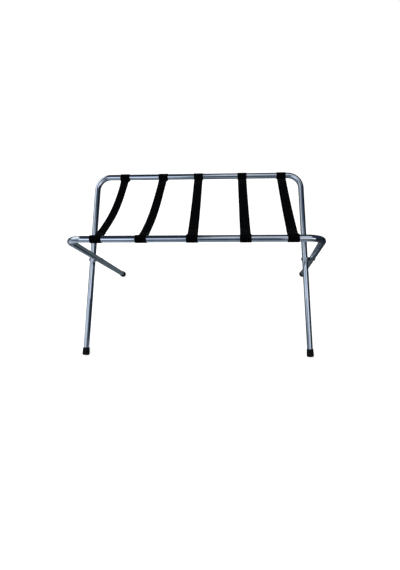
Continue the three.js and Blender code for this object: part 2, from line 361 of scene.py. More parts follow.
def sharpen(piece, degrees=40):
    """Keeps edges sharper than an angle crisp."""
    mesh = piece.data
    work = bmesh.new()
    work.from_mesh(mesh)
    limit = math.radians(degrees)
    for edge in work.edges:
        if len(edge.link_faces) == 2 and edge.calc_face_angle(0) > limit:
            edge.smooth = False
    work.to_mesh(mesh)
    work.free()
    return piece


def weld(piece, distance=1e-6):
    """Joins points that lie on one another, as at a turned shape's pole, and faces everything outwards."""
    work = bmesh.new()
    work.from_mesh(piece.data)
    bmesh.ops.remove_doubles(work, verts=work.verts, dist=distance)
    bmesh.ops.dissolve_degenerate(work, edges=work.edges, dist=distance)
    bmesh.ops.recalc_face_normals(work, faces=work.faces)
    work.to_mesh(piece.data)
    work.free()
    return piece


def rows_piece(name, rows, lengths, widths, material, slot, joined_rows=False, capped=False):
    """A surface through rows of points; each row closes on itself. lengths gives each row's place along the
    surface, widths each column's place across it. joined_rows closes the last row to the first, and capped
    closes the first and last rows with a face each."""
    rows = np.asarray(rows, float)
    count, sides = rows.shape[:2]
    faces, uvs = [], []
    for i in range(count if joined_rows else count - 1):
        nearer, further = i, (i + 1) % count
        for j in range(sides):
            k = (j + 1) % sides
            faces.append((nearer * sides + j, further * sides + j, further * sides + k, nearer * sides + k))
            here, there = widths[j], widths[j + 1]
            near, far = lengths[i], lengths[i + 1]
            uvs += [(near, here), (far, here), (far, there), (near, there)]
    if capped:
        for row, order in ((0, range(sides)), (count - 1, range(sides - 1, -1, -1))):
            faces.append(tuple(row * sides + j for j in order))
            uvs += [(lengths[row], widths[j]) for j in order]
    return mesh_piece(name, rows.reshape(-1, 3), faces, material, slot, uvs)


TURNED_MAP_RADIUS = 10 * MM  # all turned shapes are mapped as if they had this radius


def turned(name, profile, sides, place, material, slot):
    """A shape turned about the Z axis of the matrix "place". profile(angle) lists (radius, height) from the
    axis back to the axis, or all round a ring's section; only a ring's section repeats its first point."""
    angles = [2 * math.pi * step / sides for step in range(sides)]
    sections = [profile(angle) for angle in angles]
    ring = sections[0][0] == sections[0][-1]
    if ring:
        sections = [section[:-1] for section in sections]
    rows = []
    for index in range(len(sections[0])):
        row = []
        for angle, section in zip(angles, sections, strict=True):
            radius, height = section[index]
            row.append(place @ Vector((radius * math.cos(angle), radius * math.sin(angle), height)))
        rows.append(row)
    girth = 2 * math.pi * TURNED_MAP_RADIUS
    widths = [girth * step / sides for step in range(sides + 1)]
    lengths = [index * MM for index in range(len(rows) + 1)]
    piece = rows_piece(name, rows, lengths, widths, material, slot, joined_rows=ring)
    return sharpen(weld(piece))


def subtract(piece, cutter):
    """Cuts one mesh out of another for good."""
    modifier = piece.modifiers.new("cut", "BOOLEAN")
    modifier.operation = "DIFFERENCE"
    modifier.solver = "EXACT"
    modifier.object = cutter
    made = bpy.data.meshes.new_from_object(piece.evaluated_get(bpy.context.evaluated_depsgraph_get()))
    piece.modifiers.clear()
    piece.data = made
    bpy.data.objects.remove(cutter)


def axis_frame(origin, axis, towards):
    """A matrix at origin whose Z runs along axis and whose X leans towards a direction."""
    up = Vector(axis).normalized()
    side = Vector(towards)
    side = (side - up * side.dot(up)).normalized()
    rotation = Matrix((side, up.cross(side), up)).transposed()
    return Matrix.Translation(origin) @ rotation.to_4x4()


# --- tube frames ---


def bend(corner, along, away):
    """Points and tangents round a bend."""
    turn = along.angle(away)
    start = corner - along * BEND_RADIUS * math.tan(turn / 2)
    inward = (away - along * along.dot(away)).normalized()
    made = []
    for step in range(BEND_STEPS + 1):
        angle = turn * step / BEND_STEPS
        point = start + along * BEND_RADIUS * math.sin(angle) + inward * BEND_RADIUS * (1 - math.cos(angle))
        tangent = along * math.cos(angle) + inward * math.sin(angle)
        made.append((point, tangent))
    return made


def straight(start, end):
    """Points and tangents strictly between two points."""
    run = end - start
    steps = max(1, round(run.length / STRAIGHT_STEP))
    return [(start + run * (step / steps), run.normalized()) for step in range(1, steps)]


def u_path(tube_end):
    """The tube's axis from its left end over the bar to its right end; tube_end is up from the floor."""
    up, down = leg_direction(-1), -leg_direction(1)
    first = (leg_foot(-1) + up * tube_end, up)
    last = (leg_foot(1) - down * tube_end, down)
    left, right = bend(leg_top(-1), up, X_AXIS), bend(leg_top(1), X_AXIS, down)
    return [
        first, *straight(first[0], left[0][0]), *left,
        *straight(left[-1][0], right[0][0]), *right,
        *straight(right[-1][0], last[0]), last,
    ]


def ring_points(point, tangent, across, radius):
    """A ring of points round a path. across is square to the plane that the path lies in."""
    side = tangent.cross(across).normalized()
    angles = (2 * math.pi * step / TUBE_SIDES for step in range(TUBE_SIDES))
    return [point + side * radius * math.cos(a) + across * radius * math.sin(a) for a in angles]


def tube_rows(path):
    """The outside from the first end to the last, then back along the inside."""
    across = leg_direction(-1).cross(X_AXIS).normalized()
    outside = [ring_points(p, t, across, TUBE_RADIUS) for p, t in path[1:-1]]
    inside = [ring_points(p, t, across, TUBE_RADIUS - TUBE_WALL) for p, t in path]

    def end(index, outwards):
        p, t = path[index]
        rim = ring_points(p, t, across, TUBE_RADIUS - TUBE_END_ROUNDING)
        shoulder = ring_points(p - t * outwards * TUBE_END_ROUNDING, t, across, TUBE_RADIUS)
        return rim, shoulder

    (first_rim, first_shoulder), (last_rim, last_shoulder) = end(0, -1), end(-1, 1)
    return [first_rim, first_shoulder, *outside, last_shoulder, last_rim, *reversed(inside)]


def frame_tube(name, node_name, body, place):
    rows = tube_rows(u_path(tube_end_rise()))
    gaps = [0.0]
    for before, after in zip(rows, rows[1:] + rows[:1], strict=True):
        gaps.append(gaps[-1] + (after[0] - before[0]).length)
    widths = [2 * math.pi * TUBE_RADIUS * step / TUBE_SIDES for step in range(TUBE_SIDES + 1)]
    tube = rows_piece(name, rows, gaps, widths, CHROME, "tube_chrome", joined_rows=True)
    weld(tube)
    subtract(tube, pivot_drill())
    sharpen(tube)
    tube.data.transform(place)
    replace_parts(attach(tube, body), node_name)


def tube_end_rise():
    """How far up from the floor the tube ends, along a leg: where the CAD tube's lowest point puts it."""
    direction = leg_direction(-1)
    level = math.sqrt(1 - direction.z**2)
    return (tube_low.z + TUBE_RADIUS * level) / direction.z


def pivot_drill():
    """A long round bar through both legs, as wide as the rivet's bore."""
    reach = PIVOT_HALF + FRAME_SHIFT + 2 * TUBE_RADIUS
    place = axis_frame(Vector((0, 0, PIVOT.z)), X_AXIS, (0, 0, 1))
    outline = [(0, -reach), (BORE_RADIUS, -reach), (BORE_RADIUS, reach), (0, reach)]
    return turned("drill", lambda angle: outline, ROUND_SIDES, place, CHROME, "tube_chrome")


# --- foot caps ---

CAP_RADIUS, CAP_RIM_RADIUS = 12 * MM, 11 * MM
CAP_EDGE, CAP_LIP = 5 * MM, 0.9 * MM  # the rounding of the floor end and of the rim
CAP_LENGTH, CAP_FLOOR = 26 * MM, 4.8 * MM
CAP_FLAT = 0.8 * MM  # how much of the rounded floor end is worn off
CAP_GROOVES = (3.2 * MM, 5.6 * MM)  # how far below the rim
GROOVE_DEPTH, GROOVE_WIDTH = 0.35 * MM, 0.55 * MM
SLEEVE_GAP = 0.05 * MM  # between the tube and the cap's inside
MOUTH_WIDTH, MOUTH_DEPTH = 0.2 * MM, 0.3 * MM  # the chamfer where the tube goes in
CAP_SIDE_STEPS = 24


def arc(centre_radius, centre_height, radius, start, end, steps):
    """Profile points round an arc, angles in degrees from straight out."""
    angles = [math.radians(start + (end - start) * step / steps) for step in range(steps + 1)]
    return [(centre_radius + radius * math.cos(a), centre_height + radius * math.sin(a)) for a in angles]


def cap_profile(direction):
    """The cap's section: a rounded floor end, a tapering side with two shallow grooves, and a soft rim."""
    level = math.sqrt(1 - direction.z**2)
    edge = ((CAP_RADIUS - CAP_EDGE) * level + CAP_EDGE - CAP_FLAT) / direction.z
    bottom, top = edge - CAP_EDGE, edge - CAP_EDGE + CAP_LENGTH
    side = []
    for step in range(CAP_SIDE_STEPS + 1):
        share = step / CAP_SIDE_STEPS
        height = edge + (top - CAP_LIP - edge) * share
        hollows = (math.exp(-(((height - top + groove) / GROOVE_WIDTH) ** 2)) for groove in CAP_GROOVES)
        taper = CAP_RADIUS + (CAP_RIM_RADIUS - CAP_RADIUS) * share
        side.append((taper - GROOVE_DEPTH * sum(hollows), height))
    sleeve, seat = TUBE_RADIUS + SLEEVE_GAP, bottom + CAP_FLOOR
    return [
        (0, bottom),
        *arc(CAP_RADIUS - CAP_EDGE, edge, CAP_EDGE, -90, 0, 12)[:-1],
        *side,
        *arc(CAP_RIM_RADIUS - CAP_LIP, top - CAP_LIP, CAP_LIP, 0, 90, 6)[1:],
        (sleeve + MOUTH_WIDTH, top),
        (sleeve, top - MOUTH_DEPTH),
        (sleeve, seat),
        (0, seat),
    ]


def foot_cap(name, node_name, body, side, place):
    direction = leg_direction(side)
    outline = cap_profile(direction)
    stand = axis_frame(leg_foot(side), direction, X_AXIS)
    cap = turned(name, lambda angle: outline, SMOOTH_SIDES, stand, RUBBER, "foot_rubber")
    for vertex in cap.data.vertices:
        vertex.co.z = max(vertex.co.z, 0.0)
    cap.data.transform(place)
    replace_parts(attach(cap, body), node_name)


# --- pivots ---

SEAT = FRAME_SHIFT + TUBE_RADIUS + FIT_GAP  # from the middle between two legs to where a washer sits
HEAD_RADIUS_OUT, HEAD_RADIUS_IN = 5.5 * MM, 4.6 * MM
HEAD_HEIGHT, HEAD_RIM, HEAD_CHAMFER = 2.2 * MM, 0.35 * MM, 0.15 * MM
HEAD_STEPS = 10
# A saddle is how far a disc's skirt reaches down the side of its tube.
WASHER_RADIUS, WASHER_THICKNESS, WASHER_SADDLE = 6.2 * MM, 0.8 * MM, 1.3 * MM
SPACER_RADIUS, SPACER_SADDLE = 6.5 * MM, 1.8 * MM
SADDLE_GAP = 0.08 * MM
DISC_ROUNDING, DISC_SHOULDER = 0.25 * MM, 0.07 * MM  # the shoulder is the middle of the rounding
DISC_RINGS = 8


def pivot_frame(outwards):
    """Stands between the two legs of the left pivot, with Z along the rivet. outwards is 1 or -1."""
    origin = Vector((-PIVOT_HALF, 0, PIVOT.z))
    return axis_frame(origin, -X_AXIS * outwards, (0, 0, 1))


def rivet(name, node_name, body, place):
    """A shank with a domed head at each end."""
    head = SEAT + WASHER_THICKNESS + FIT_GAP

    def dome(radius, sign):
        angles = [math.pi / 2 * step / HEAD_STEPS for step in range(HEAD_STEPS)]
        rise = HEAD_HEIGHT - HEAD_RIM
        crown = [(radius * math.cos(a), sign * (head + HEAD_RIM + rise * math.sin(a))) for a in angles]
        under = [(RIVET_RADIUS, sign * head), (radius - HEAD_CHAMFER, sign * head)]
        return [*under, *crown, (0, sign * (head + HEAD_HEIGHT))]

    outline = [*reversed(dome(HEAD_RADIUS_IN, -1)), *dome(HEAD_RADIUS_OUT, 1)]
    made = turned(name, lambda angle: outline, ROUND_SIDES, pivot_frame(1), STEEL, "pivot_steel")
    made.data.transform(place)
    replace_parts(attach(made, body), node_name)


def saddle_disc(name, node_name, body, place, disc):
    """A disc on the rivet whose one face follows a tube. disc holds its radius, material and slot, the
    tube's direction, outwards (1 or -1), and heights from the middle between the legs: face (the flat
    one), skirt (how far the other reaches) and axis (the tube's)."""
    matrix = pivot_frame(disc["outwards"])
    local = matrix.to_3x3().inverted() @ disc["direction"]
    run = Vector((local.x, local.y)).normalized()
    slope = local.z / Vector((local.x, local.y)).length
    hug = TUBE_RADIUS + SADDLE_GAP
    facing = 1 if disc["face"] > disc["axis"] else -1

    def under(radius, angle):
        spot = Vector((radius * math.cos(angle), radius * math.sin(angle)))
        off = spot.x * run.y - spot.y * run.x
        rise = math.sqrt(max(hug**2 - off**2, 0.0))
        surface = disc["axis"] + facing * rise + slope * spot.dot(run)
        return max(surface, disc["skirt"]) if facing > 0 else min(surface, disc["skirt"])

    def profile(angle):
        outer, inner, face = disc["radius"], BORE_RADIUS, disc["face"]
        radii = [outer + (inner - outer) * step / DISC_RINGS for step in range(DISC_RINGS + 1)]
        flat = [(inner, face), (outer - DISC_ROUNDING, face)]
        shoulder = (outer - DISC_SHOULDER, face - facing * DISC_SHOULDER)
        rim = (outer, face - facing * DISC_ROUNDING)
        return [*flat, shoulder, rim, *((radius, under(radius, angle)) for radius in radii), (inner, face)]

    made = turned(name, profile, SMOOTH_SIDES, matrix, disc["material"], disc["slot"])
    made.data.transform(place)
    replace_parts(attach(made, body), node_name)


def pivot_pieces(side, outer_body, inner_body, rivet_body, place):
    """One pivot. The outer leg belongs to outer_body, and the inner one to inner_body."""
    outer_leg = leg_direction(-1)
    inner_leg = HALF_TURN.to_3x3() @ leg_direction(1)
    steel = {
        "radius": WASHER_RADIUS, "material": STEEL, "slot": "pivot_steel",
        "face": SEAT + WASHER_THICKNESS, "skirt": SEAT - WASHER_SADDLE, "axis": FRAME_SHIFT,
    }
    rivet(f"{side}_rivet", f"{side}_pivot_rivet", rivet_body, place)
    saddle_disc(
        f"{side}_outer_washer", f"{side}_outer_saddle_washer", outer_body, place,
        steel | {"direction": outer_leg, "outwards": 1},
    )
    saddle_disc(
        f"{side}_inner_washer", f"{side}_inner_saddle_washer", inner_body, place,
        steel | {"direction": inner_leg, "outwards": -1},
    )
    near_side = FRAME_SHIFT - TUBE_RADIUS  # of the outer leg, seen from the middle between the legs
    saddle_disc(
        f"{side}_spacer", f"{side}_pivot_spacer", outer_body, place,
        {
            "radius": SPACER_RADIUS, "material": NYLON, "slot": "spacer_nylon",
            "face": -near_side + FIT_GAP, "skirt": near_side + SPACER_SADDLE, "axis": FRAME_SHIFT,
            "direction": outer_leg, "outwards": 1,
        },
    )


# --- straps ---

CENTRE_RADIUS = TUBE_RADIUS + LOOP_GAP + WEBBING_THICKNESS / 2  # of the webbing's middle round a bar
HALF_LAYERS = (WEBBING_THICKNESS + LAYER_GAP) / 2  # from between the two layers to the middle of each
LOOP_STEPS, LAP_STEPS, SPAN_STEPS = 48, 12, 160
LINE_STEP = 0.5 * MM
ROUNDING_REACH = 3  # line steps over which corners are rounded
FINE_STRIDE, COARSE_STRIDE = 2, 8  # line steps from one section to the next, near a bar and between
FINE_MARGIN = 4 * MM  # how far past the laps the sections stay close
SECTION_STEPS = 7
FLAT_SHARE = 0.96  # of the webbing's half-width, up to its rounded edge
CURL_START = 0.45  # share of the way to a bar up to which the edges are fully curled
CURL_MEAN = 0.33  # taken off the curl, which keeps the section's mean height


def smooth_step(value, low, high):
    share = min(max((value - low) / (high - low), 0.0), 1.0)
    return share * share * (3 - 2 * share)


def strap_middle(strap, y):
    """Height of the line midway between a strap's two sewn layers."""
    share = y / BAR_REACH
    return BAR_HEIGHT - strap["sag"] * (1 - share**2) * (1 + strap["lean"] * share)


def strap_normal(strap, y):
    """(y, z) square to that line, upwards."""
    step = 0.5 * MM
    slope = (strap_middle(strap, y + step) - strap_middle(strap, y - step)) / (2 * step)
    return np.array([-slope, 1.0]) / math.hypot(slope, 1.0)


def layer_point(strap, y, offset):
    return np.array([y, strap_middle(strap, y)]) + strap_normal(strap, y) * offset


def loop_turn(strap, end):
    """(y, z) of the webbing's middle from the lower layer round a bar to the upper one. end is 1 for the
    rear bar and -1 for the front one."""
    bar = np.array([end * BAR_REACH, BAR_HEIGHT])
    meet = end * (BAR_REACH - MERGE)
    upper, lower = layer_point(strap, meet, HALF_LAYERS), layer_point(strap, meet, -HALF_LAYERS)

    def tangent_angle(point, sign):
        away = point - bar
        return math.atan2(away[1], away[0]) + sign * math.acos(CENTRE_RADIUS / np.linalg.norm(away))

    start, finish = tangent_angle(lower, end), tangent_angle(upper, -end)
    turn = (finish - start) * end % (2 * math.pi) * end
    angles = [start + turn * step / LOOP_STEPS for step in range(LOOP_STEPS + 1)]
    return [bar + CENTRE_RADIUS * np.array([math.cos(a), math.sin(a)]) for a in angles]


def evenly(points, step):
    """The same line, with points a step apart."""
    points = np.asarray(points)
    lengths = np.concatenate([[0], np.cumsum(np.linalg.norm(np.diff(points, axis=0), axis=1))])
    places = np.linspace(0, lengths[-1], round(lengths[-1] / step) + 1)
    return np.stack([np.interp(places, lengths, points[:, axis]) for axis in range(2)], axis=1)


def soften(points, reach):
    """Rounds the line's corners over a few neighbours, and keeps its ends."""
    kernel = np.exp(-0.5 * (np.arange(-4 * reach, 4 * reach + 1) / reach) ** 2)
    kernel /= kernel.sum()
    padded = np.pad(points, ((4 * reach, 4 * reach), (0, 0)), mode="reflect", reflect_type="odd")
    return np.stack([np.convolve(padded[:, axis], kernel, mode="valid") for axis in range(2)], axis=1)


def strap_line(strap):
    """(y, z) all along the webbing's middle: from its cut end under the rear lap, round the rear bar,
    across, round the front bar, and to its other cut end under the front lap."""
    meet, cut = BAR_REACH - MERGE, BAR_REACH - LAP_END
    under_rear = [layer_point(strap, y, -HALF_LAYERS) for y in np.linspace(cut, meet, LAP_STEPS)]
    span = [layer_point(strap, y, HALF_LAYERS) for y in np.linspace(meet, -meet, SPAN_STEPS)]
    under_front = [layer_point(strap, y, -HALF_LAYERS) for y in np.linspace(-meet, -cut, LAP_STEPS)]
    line = under_rear + loop_turn(strap, 1) + span + loop_turn(strap, -1)[::-1] + under_front
    return soften(evenly(line, LINE_STEP), ROUNDING_REACH)


def thinned(line):
    """Every second point round the bars and laps, and fewer across the span."""
    kept, since = [0], 0
    for index in range(1, len(line)):
        since += 1
        near_bar = abs(line[index][0]) > BAR_REACH - LAP_END - FINE_MARGIN
        if since >= (FINE_STRIDE if near_bar else COARSE_STRIDE) or index == len(line) - 1:
            kept.append(index)
            since = 0
    return line[kept]


def strap_width(strap, y):
    """Narrow between the loops, where it is pulled, and full where it lies on a bar."""
    full = smooth_step(abs(y), BAR_REACH - WIDEN_START, BAR_REACH - WIDEN_END)
    return strap["width"] + (LOOP_WIDTH - strap["width"]) * full


def webbing_section():
    """Half-width shares and thickness shares round the webbing's section, starting mid-top."""
    top = [(share, 1.0) for share in np.linspace(0, FLAT_SHARE, SECTION_STEPS)]
    turn = np.linspace(0, math.pi, SECTION_STEPS)[1:-1]
    edge = [(FLAT_SHARE + (1 - FLAT_SHARE) * math.sin(a), math.cos(a)) for a in turn]
    right = top + edge + [(share, -1.0) for share in np.linspace(FLAT_SHARE, 0, SECTION_STEPS)]
    left = [(-share, thick) for share, thick in reversed(right[1:-1])]
    return right + left


SECTION = webbing_section()


def middle_x(node_name):
    low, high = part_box(node_name)
    return (low[0] + high[0]) / 2


# Each strap's x on the front bar and on the rear one.
PLACES = [
    (middle_x(f"strap_{number}_front_loop"), middle_x(f"strap_{number}_rear_loop"))
    for number in range(1, len(STRAPS) + 1)
]


def strap_centre(index, y):
    """x of a strap's middle, between its places on the two bars."""
    front, rear = PLACES[index - 1]
    share = min(max((y + BAR_REACH) / (2 * BAR_REACH), 0.0), 1.0)
    return front + (rear - front) * share


def strap_rows(index, strap, line):
    """A section of the webbing at each point of its line."""
    ahead = np.gradient(line, axis=0)
    ahead /= np.linalg.norm(ahead, axis=1)[:, None]
    rows = []
    for (y, z), (dy, dz) in zip(line, ahead, strict=True):
        half = strap_width(strap, y) / 2
        loose = 1 - smooth_step(abs(y), CURL_START * BAR_REACH, BAR_REACH - LAP_END)
        centre = strap_centre(index, y)
        upward = np.array([dz, -dy])
        row = []
        for share, thick in SECTION:
            offset = thick * WEBBING_THICKNESS / 2 + strap["curl"] * loose * (share**2 - CURL_MEAN)
            row.append((centre + share * half, y + upward[0] * offset, z + upward[1] * offset))
        rows.append(row)
    return rows


def line_lengths(line):
    return np.concatenate([[0], np.cumsum(np.linalg.norm(np.diff(line, axis=0), axis=1))])


def bend_with_frames(piece):
    """Bakes the piece's transform into its mesh."""
    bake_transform(piece)


STITCH_LENGTH, STITCH_GAP, THREAD_RADIUS = 2.6 * MM, 0.7 * MM, 0.22 * MM
SEAM_FROM_MERGE, SEAM_FROM_CUT = 1.5 * MM, 2.5 * MM
SEAM_SHARE = 0.78  # of the half-width, out to the side seams
STITCH_STEPS, THREAD_SIDES = 6, 6
STITCH_ARCH, STITCH_DEPTH = 1.3, 0.5  # of the thread's radius: how high it arches, and how deep it starts
THREAD_THIN = 0.35  # the thread's share of its radius where it enters the cloth


def stitch_seams():
    """Seams of one lap as (distance in from the bar, share across) pairs: a box with a cross in it."""
    low, high, wide = MERGE + SEAM_FROM_MERGE, LAP_END - SEAM_FROM_CUT, SEAM_SHARE
    corners = [(low, -wide), (high, -wide), (high, wide), (low, wide)]
    box = list(zip(corners, corners[1:] + corners[:1], strict=True))
    return box + [(corners[0], corners[2]), (corners[1], corners[3])]


def one_stitch(start, end, lift):
    """A short arched thread between two points on the cloth. lift is the way out of the cloth."""
    run = end - start
    side = run.cross(lift).normalized()
    rows = []
    for step in range(STITCH_STEPS + 1):
        share = step / STITCH_STEPS
        arch = math.sin(math.pi * share)
        centre = start + run * share + lift * THREAD_RADIUS * (STITCH_ARCH * arch - STITCH_DEPTH)
        thick = THREAD_RADIUS * (THREAD_THIN + (1 - THREAD_THIN) * math.sqrt(arch))
        ring = (2 * math.pi * k / THREAD_SIDES for k in range(THREAD_SIDES))
        rows.append([centre + (side * math.cos(a) + lift * math.sin(a)) * thick for a in ring])
    return rows


def strap_stitches(index, strap):
    """The thread of both laps of one strap, on the top and underneath."""
    points, faces = [], []
    out = HALF_LAYERS + WEBBING_THICKNESS / 2
    for end in (1, -1):
        for face in (1, -1):
            for first, last in stitch_seams():
                add_seam(points, faces, index, strap, end, face * out, first, last)
    return mesh_piece(f"strap_{index}_stitches", points, faces, THREAD, "strap_webbing")


def add_seam(points, faces, index, strap, end, offset, first, last):
    """Adds a row of stitches between two places on a lap. end is 1 at the rear bar and -1 at the front
    one, and offset is from between the two layers to the outside of one."""

    def spot(share):
        inward = first[0] + (last[0] - first[0]) * share
        across = first[1] + (last[1] - first[1]) * share
        y = end * (BAR_REACH - inward)
        here = layer_point(strap, y, offset)
        return Vector((strap_centre(index, y) + across * strap_width(strap, y) / 2, *here))

    length = (spot(1) - spot(0)).length
    count = max(1, round(length / (STITCH_LENGTH + STITCH_GAP)))
    covered = STITCH_LENGTH / (STITCH_LENGTH + STITCH_GAP)
    for number in range(count):
        start, finish = spot(number / count), spot((number + covered) / count)
        normal = strap_normal(strap, start.y)
        lift = Vector((0, *normal)) * math.copysign(1, offset)
        rows = one_stitch(start, finish, lift)
        base = len(points)
        points += [p for row in rows for p in row]
        for i in range(STITCH_STEPS):
            here, ahead = base + i * THREAD_SIDES, base + (i + 1) * THREAD_SIDES
            for j in range(THREAD_SIDES):
                k = (j + 1) % THREAD_SIDES
                faces.append((here + j, here + k, ahead + k, ahead + j))
        faces.append(tuple(base + j for j in reversed(range(THREAD_SIDES))))
        faces.append(tuple(base + STITCH_STEPS * THREAD_SIDES + j for j in range(THREAD_SIDES)))


def make_strap(index, strap):
    line = thinned(strap_line(strap))
    rows = strap_rows(index, strap, line)
    lengths = line_lengths(line)
    shares = [share for share, _ in SECTION]
    widths = [share * LOOP_WIDTH / 2 for share in shares] + [shares[0] * LOOP_WIDTH / 2]
    piece = rows_piece(f"strap_{index}", rows, lengths, widths, WEBBING, "strap_webbing", capped=True)
    stitches = strap_stitches(index, strap)
    for made in (piece, stitches):
        weld(made, 1e-7)
        bend_with_frames(made)
    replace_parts(piece, *(f"strap_{index}_{part}" for part in ("span", "rear_loop", "front_loop")))


# --- stage ---

CAMERA_PLACE = (0.148, -1.102, 1.0312)
CAMERA_YAW, CAMERA_PITCH, CAMERA_ROLL = (math.radians(angle) for angle in (-3.61, 38.75, -2.26))
CAMERA_LENS, CAMERA_SENSOR = 25.22, 36
CAMERA_SHIFT = (-0.0432, -0.0061)
LIGHT_TARGET = Vector((0, 0, 0.2))
FLOOR_RADIUS = 60
FLOOR_DROP = 0.2 * MM

# What the chrome sees on the floor: a glow with painted light and shade, standing in for a lit room's
# floor. The painted pool of light's colours run from FLOOR_DEPTH before the rack to as far behind it, and
# the painted fall-off of light from FLOOR_SIDE on the left to as far on the right. The dark patch is
# painted shade under the rack and to its right, given by its low and high edge and their softness.
FLOOR_DEPTH, FLOOR_SIDE = 2.0, 1.2
FLOOR_LIGHT_POOL = [
    (0.10, (0.10, 0.13, 0.16)),
    (0.28, (0.15, 0.20, 0.25)),
    (0.39, (0.34, 0.40, 0.46)),
    (0.455, (0.46, 0.52, 0.58)),
    (0.51, (0.11, 0.135, 0.15)),
    (0.64, (0.075, 0.095, 0.10)),
]
FLOOR_LIGHT_FADE = [(0.0, 1.3), (0.5, 1.0), (0.64, 0.9), (0.76, 0.08)]
FLOOR_SHADE_PATCH = {"x": (-0.33, 2.0, 0.04), "y": (-0.21, 0.12, 0.05), "colour": (0.022, 0.03, 0.042)}

# What it sees above the floor. "across" is the direction's share along X, and "over" its angle in the
# Y-Z plane: 0 is the front horizon, 90 straight up, and 180 the back horizon. ROOM_SHADES runs over
# from -180 to 180, and each panel lies on top of the ones before it.
ROOM_SHADES = [
    (0.50, (0.13, 0.17, 0.21)),
    (0.58, (0.10, 0.13, 0.18)),
    (0.63, (0.13, 0.17, 0.23)),
    (0.665, (0.05, 0.068, 0.10)),
    (0.69, (0.016, 0.022, 0.036)),
    (0.82, (0.012, 0.016, 0.026)),
    (0.90, (0.07, 0.085, 0.10)),
    (1.00, (0.05, 0.06, 0.07)),
]
ROOM_PANELS = [
    {"across": (-2.0, -0.10), "over": (34, 64), "colour": (0.72, 0.82, 0.92), "soft": (0.12, 7)},
    {"across": (-0.95, -0.48), "over": (66, 150), "colour": (1.15, 1.2, 1.3), "soft": (0.08, 14)},
    {"across": (-0.50, -0.13), "over": (3, 36), "colour": (1.05, 1.15, 1.35), "soft": (0.03, 5)},
    {"across": (-0.12, 0.50), "over": (36, 53), "colour": (1.02, 1.08, 1.20), "soft": (0.05, 4)},
    {"across": (-0.09, 0.45), "over": (66, 90), "colour": (0.90, 0.96, 1.04), "soft": (0.04, 4)},
    {"across": (-0.42, -0.13), "over": (45, 78), "colour": (0.07, 0.09, 0.13), "soft": (0.05, 4)},
    {"across": (0.05, 0.86), "over": (-20, 22), "colour": (1.1, 1.15, 1.25), "soft": (0.03, 6)},
    {"across": (-0.13, 0.11), "over": (-90, 40), "colour": (0.035, 0.05, 0.08), "soft": (0.03, 7)},
    {"across": (0.52, 0.78), "over": (-12, 30), "colour": (1.6, 1.65, 1.75), "soft": (0.08, 7)},
    {"across": (0.74, 2.0), "over": (-200, 200), "colour": (0.022, 0.03, 0.046), "soft": (0.04, 10)},
]

# A card that shows only in reflections: its span along a front leg from the floor, its span along X, and
# how far in front of the leg it stands.
CARD_ALONG, CARD_X, CARD_DISTANCE = (-0.12, 0.20), (-0.25, 0.08), 0.6
CARD_COLOUR = (0.05, 0.07, 0.105, 1)


def by_ray(nodes, links, seen, felt):
    """A shader for what the camera sees directly, and another for what lights and reflects."""
    path = node(nodes, "LightPath")
    choice = node(nodes, "MixShader")
    links.new(path.outputs["Is Camera Ray"], choice.inputs[0])
    links.new(felt, choice.inputs[1])
    links.new(seen, choice.inputs[2])
    return choice.outputs[0]


def between(nodes, links, value, low, high, soft):
    """1 between low and high, falling softly to 0 outside."""

    def step(outside, inside):
        made = node(nodes, "MapRange", interpolation_type="SMOOTHSTEP", From_Min=outside, From_Max=inside)
        links.new(value, made.inputs["Value"])
        return made.outputs[0]

    rise, fall = step(low - soft, low + soft), step(high + soft, high - soft)
    return arithmetic(nodes, links, "MULTIPLY", rise, fall)


def share_of(nodes, links, value, reach):
    """0 to 1 as a value goes from -reach to reach."""
    made = node(nodes, "MapRange", From_Min=-reach, From_Max=reach)
    links.new(value, made.inputs["Value"])
    return made.outputs[0]


def floor():
    """A wide pale floor. Its glow keeps the shadows faint. The chrome sees it as a dim room's floor, lit
    only in front of the rack and dark under it: a glow of painted light and painted shade, with a painted
    pool of light in front, painted light fading to the right and painted shade under the rack."""
    work = bmesh.new()
    bmesh.ops.create_circle(work, cap_ends=True, segments=96, radius=FLOOR_RADIUS)
    mesh = bpy.data.meshes.new("floor")
    work.to_mesh(mesh)
    work.free()
    disc = put("floor", mesh)
    disc.location.z = -FLOOR_DROP
    material, shader, nodes, links = new_material("pale_floor")
    shader.inputs["Base Color"].default_value = (0.85, 0.85, 0.86, 1)
    shader.inputs["Roughness"].default_value = 0.9
    shader.inputs["Specular IOR Level"].default_value = 0.0
    shader.inputs["Emission Color"].default_value = (1, 0.97, 0.92, 1)
    shader.inputs["Emission Strength"].default_value = 0.72
    x, y, _ = split(nodes, links, object_place(nodes))
    # Painted light in the glow the chrome sees: a pool before the rack, darker behind, fading to the right.
    light_pool = ramp(nodes, links, share_of(nodes, links, y, FLOOR_DEPTH), FLOOR_LIGHT_POOL)
    light_fade = ramp(nodes, links, share_of(nodes, links, x, FLOOR_SIDE), FLOOR_LIGHT_FADE)
    # Painted shade under the rack and to its right.
    under = arithmetic(
        nodes, links, "MULTIPLY",
        between(nodes, links, x, *FLOOR_SHADE_PATCH["x"]), between(nodes, links, y, *FLOOR_SHADE_PATCH["y"]),
    )
    lit = multiply_colours(nodes, links, light_pool, light_fade)
    glow = node(nodes, "Emission")
    links.new(mix_colour(nodes, links, under, lit, FLOOR_SHADE_PATCH["colour"]), glow.inputs["Color"])
    surface = by_ray(nodes, links, shader.outputs[0], glow.outputs[0])
    links.new(surface, nodes["Material Output"].inputs["Surface"])
    mesh.materials.append(material)


